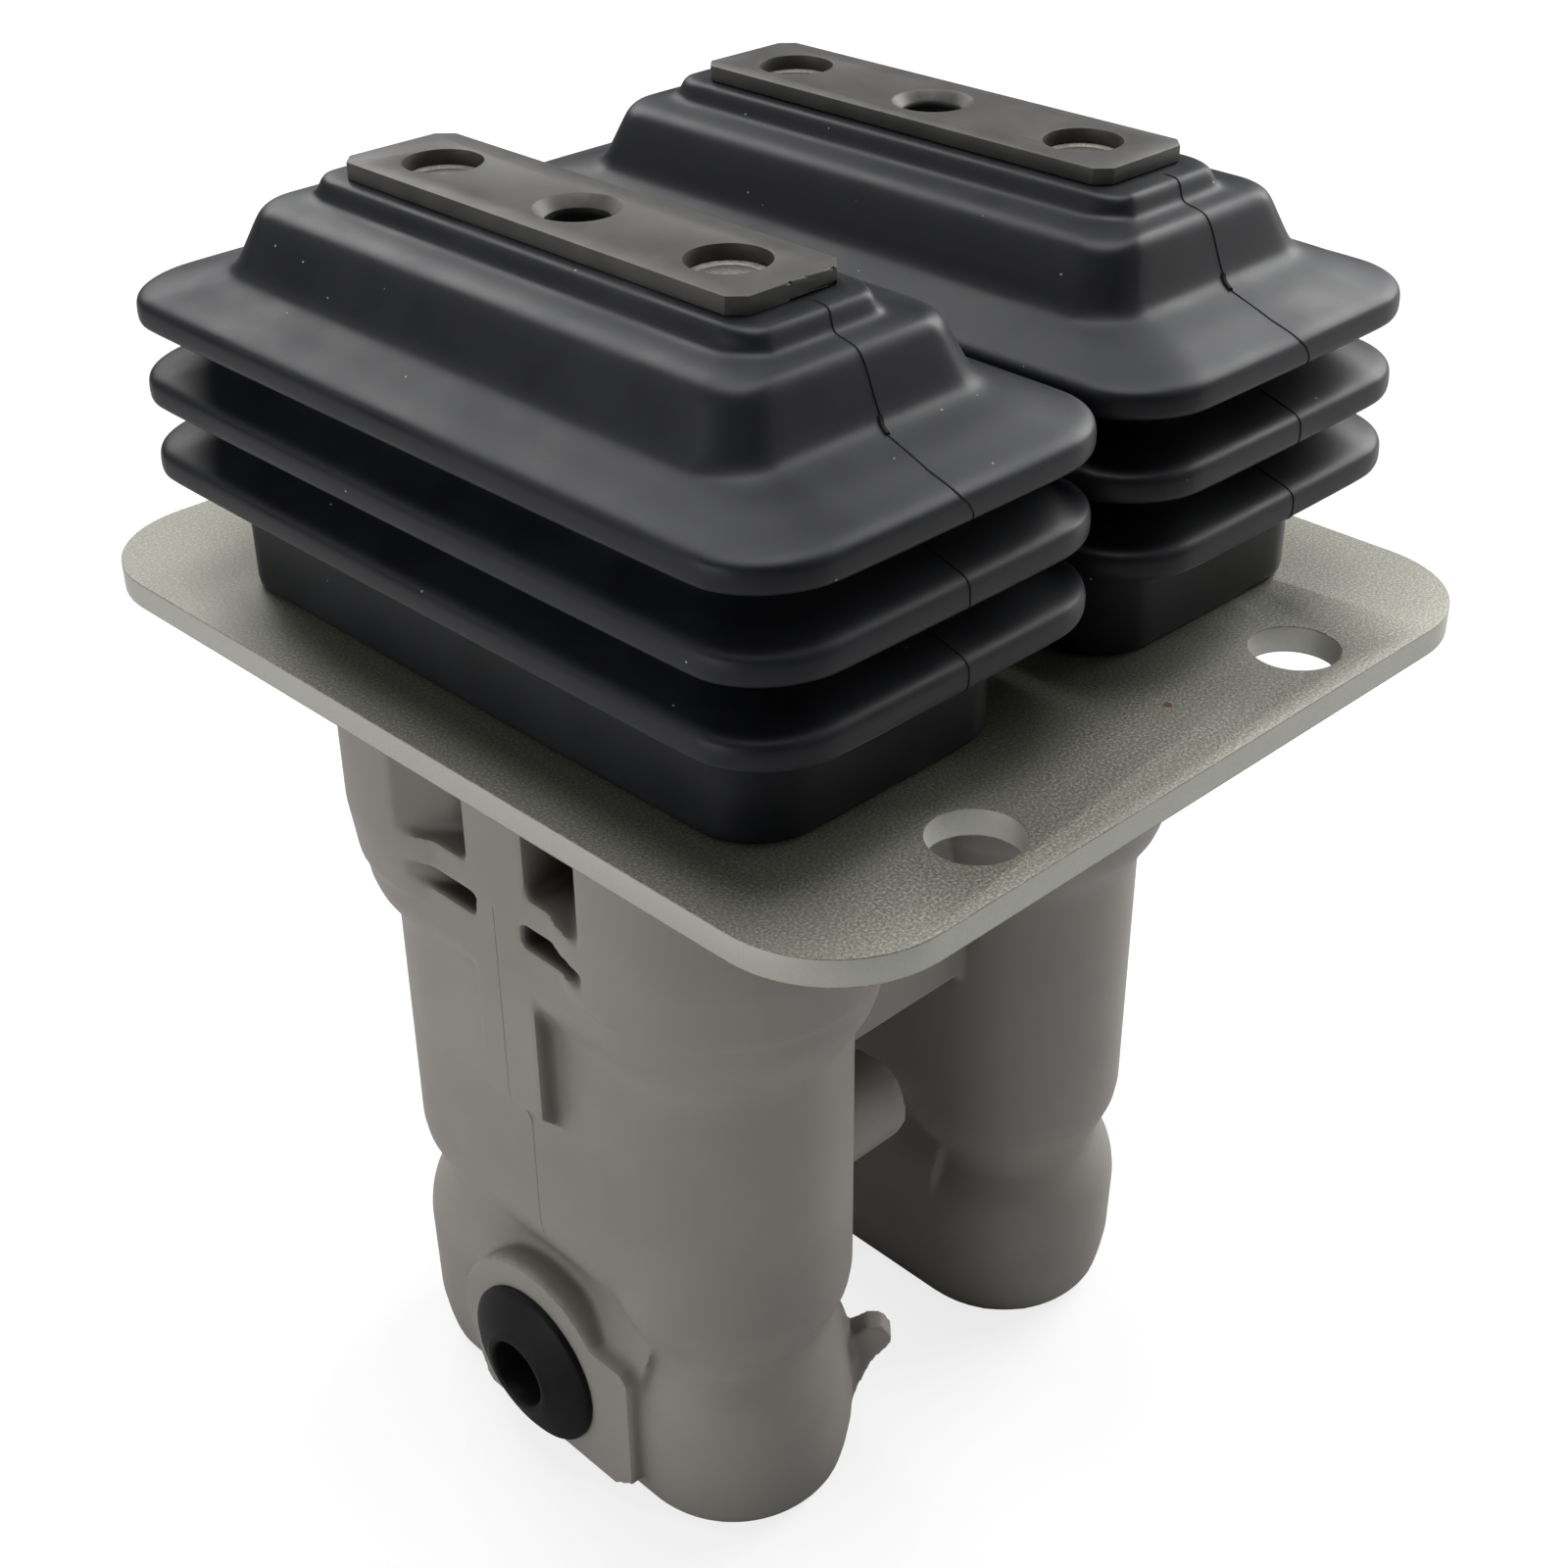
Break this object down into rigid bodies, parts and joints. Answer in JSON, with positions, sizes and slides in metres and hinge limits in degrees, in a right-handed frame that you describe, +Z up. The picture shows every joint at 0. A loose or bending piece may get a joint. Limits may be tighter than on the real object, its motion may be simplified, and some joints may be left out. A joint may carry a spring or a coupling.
{
  "type": "foot pedal valve",
  "caption": "Hydraulic foot pedal valve: two rocking pedals under black rubber boots on a floor plate, with a twin-leg cast valve body below.",
  "frame": {"origin": "centre of the floor bolt pattern on the underside of the mounting plate", "axes": "+Z up out of the floor, towards the pedals; X across the two pedals; Y along the pedals, the front at -Y"},
  "size_m": [0.15, 0.175, 0.223],
  "materials": {
    "casting": "fine as-cast surface, grey",
    "plate": "blasted and zinc plated, satin",
    "plastic": "moulded, matt",
    "rubber": "moulded, satin",
    "pedal_steel": "dark satin coating",
    "steel": "machined, zinc plated",
    "hard_steel": "ground and hardened",
    "black_steel": "black oxide",
    "spring_steel": "oiled spring wire",
    "bronze": "turned bronze"
  },
  "bodies": {
    "base": {"valve_body": "casting", "mounting_plate": "plate", "port_plugs": "plastic", "guide_plugs": "steel", "wiper_seals": "rubber", "plug_o_rings": "rubber", "left_pivot_bracket": "steel", "right_pivot_bracket": "steel", "bracket_screws": "black_steel", "left_pivot_shaft": "steel", "right_pivot_shaft": "steel", "shaft_circlips": "spring_steel", "left_boot": "rubber", "right_boot": "rubber", "left_boot_retainer": "steel", "right_boot_retainer": "steel", "retainer_screws": "steel", "left_front_return_spring": "spring_steel", "left_rear_return_spring": "spring_steel", "right_front_return_spring": "spring_steel", "right_rear_return_spring": "spring_steel", "left_front_damping_spring": "spring_steel", "left_rear_damping_spring": "spring_steel", "right_front_damping_spring": "spring_steel", "right_rear_damping_spring": "spring_steel"},
    "left_pedal": {"left_rocker": "steel", "left_rocker_bushes": "bronze", "left_adjusting_screws": "black_steel", "left_lock_nuts": "steel", "left_pedal_plate": "pedal_steel"},
    "right_pedal": {"right_rocker": "steel", "right_rocker_bushes": "bronze", "right_adjusting_screws": "black_steel", "right_lock_nuts": "steel", "right_pedal_plate": "pedal_steel"},
    "left_front_rod": {"left_front_push_rod": "hard_steel", "left_front_damping_piston": "steel", "left_front_spring_seat": "steel"},
    "left_front_valve": {"left_front_spool": "hard_steel", "left_front_metering_spring": "spring_steel"},
    "left_rear_rod": {"left_rear_push_rod": "hard_steel", "left_rear_damping_piston": "steel", "left_rear_spring_seat": "steel"},
    "left_rear_valve": {"left_rear_spool": "hard_steel", "left_rear_metering_spring": "spring_steel"},
    "right_front_rod": {"right_front_push_rod": "hard_steel", "right_front_damping_piston": "steel", "right_front_spring_seat": "steel"},
    "right_front_valve": {"right_front_spool": "hard_steel", "right_front_metering_spring": "spring_steel"},
    "right_rear_rod": {"right_rear_push_rod": "hard_steel", "right_rear_damping_piston": "steel", "right_rear_spring_seat": "steel"},
    "right_rear_valve": {"right_rear_spool": "hard_steel", "right_rear_metering_spring": "spring_steel"}
  },
  "joints": [
    {"name": "left_pedal_tilt", "type": "hinge", "parent": "base", "child": "left_pedal", "pos_m": [-0.0362, 0, 0.04], "axis": [1, 0, 0], "range_deg": [-12, 12], "stiffness_Nm_per_rad": 8, "deforming": ["left_boot"]},
    {"name": "right_pedal_tilt", "type": "hinge", "parent": "base", "child": "right_pedal", "pos_m": [0.0362, 0, 0.04], "axis": [1, 0, 0], "range_deg": [-12, 12], "stiffness_Nm_per_rad": 8, "deforming": ["right_boot"]},
    {"name": "left_front_rod_slide", "type": "slide", "parent": "base", "child": "left_front_rod", "axis": [0, 0, 1], "range_m": [-0.0054, 0.0054], "deforming": ["left_front_return_spring", "left_front_damping_spring"]},
    {"name": "left_front_spool_slide", "type": "slide", "parent": "base", "child": "left_front_valve", "axis": [0, 0, 1], "range_m": [-0.0014, 0.0014], "deforming": ["left_front_metering_spring"]},
    {"name": "left_rear_rod_slide", "type": "slide", "parent": "base", "child": "left_rear_rod", "axis": [0, 0, 1], "range_m": [-0.0054, 0.0054], "deforming": ["left_rear_return_spring", "left_rear_damping_spring"]},
    {"name": "left_rear_spool_slide", "type": "slide", "parent": "base", "child": "left_rear_valve", "axis": [0, 0, 1], "range_m": [-0.0014, 0.0014], "deforming": ["left_rear_metering_spring"]},
    {"name": "right_front_rod_slide", "type": "slide", "parent": "base", "child": "right_front_rod", "axis": [0, 0, 1], "range_m": [-0.0054, 0.0054], "deforming": ["right_front_return_spring", "right_front_damping_spring"]},
    {"name": "right_front_spool_slide", "type": "slide", "parent": "base", "child": "right_front_valve", "axis": [0, 0, 1], "range_m": [-0.0014, 0.0014], "deforming": ["right_front_metering_spring"]},
    {"name": "right_rear_rod_slide", "type": "slide", "parent": "base", "child": "right_rear_rod", "axis": [0, 0, 1], "range_m": [-0.0054, 0.0054], "deforming": ["right_rear_return_spring", "right_rear_damping_spring"]},
    {"name": "right_rear_spool_slide", "type": "slide", "parent": "base", "child": "right_rear_valve", "axis": [0, 0, 1], "range_m": [-0.0014, 0.0014], "deforming": ["right_rear_metering_spring"]}
  ],
  "couplings": [
    {"joint": "left_front_rod_slide", "follows": "left_pedal_tilt", "m_per_rad": -0.0254},
    {"joint": "left_front_spool_slide", "follows": "left_pedal_tilt", "m_per_rad": -0.0064},
    {"joint": "left_rear_rod_slide", "follows": "left_pedal_tilt", "m_per_rad": 0.0254},
    {"joint": "left_rear_spool_slide", "follows": "left_pedal_tilt", "m_per_rad": 0.0064},
    {"joint": "right_front_rod_slide", "follows": "right_pedal_tilt", "m_per_rad": -0.0254},
    {"joint": "right_front_spool_slide", "follows": "right_pedal_tilt", "m_per_rad": -0.0064},
    {"joint": "right_rear_rod_slide", "follows": "right_pedal_tilt", "m_per_rad": 0.0254},
    {"joint": "right_rear_spool_slide", "follows": "right_pedal_tilt", "m_per_rad": 0.0064}
  ]
}
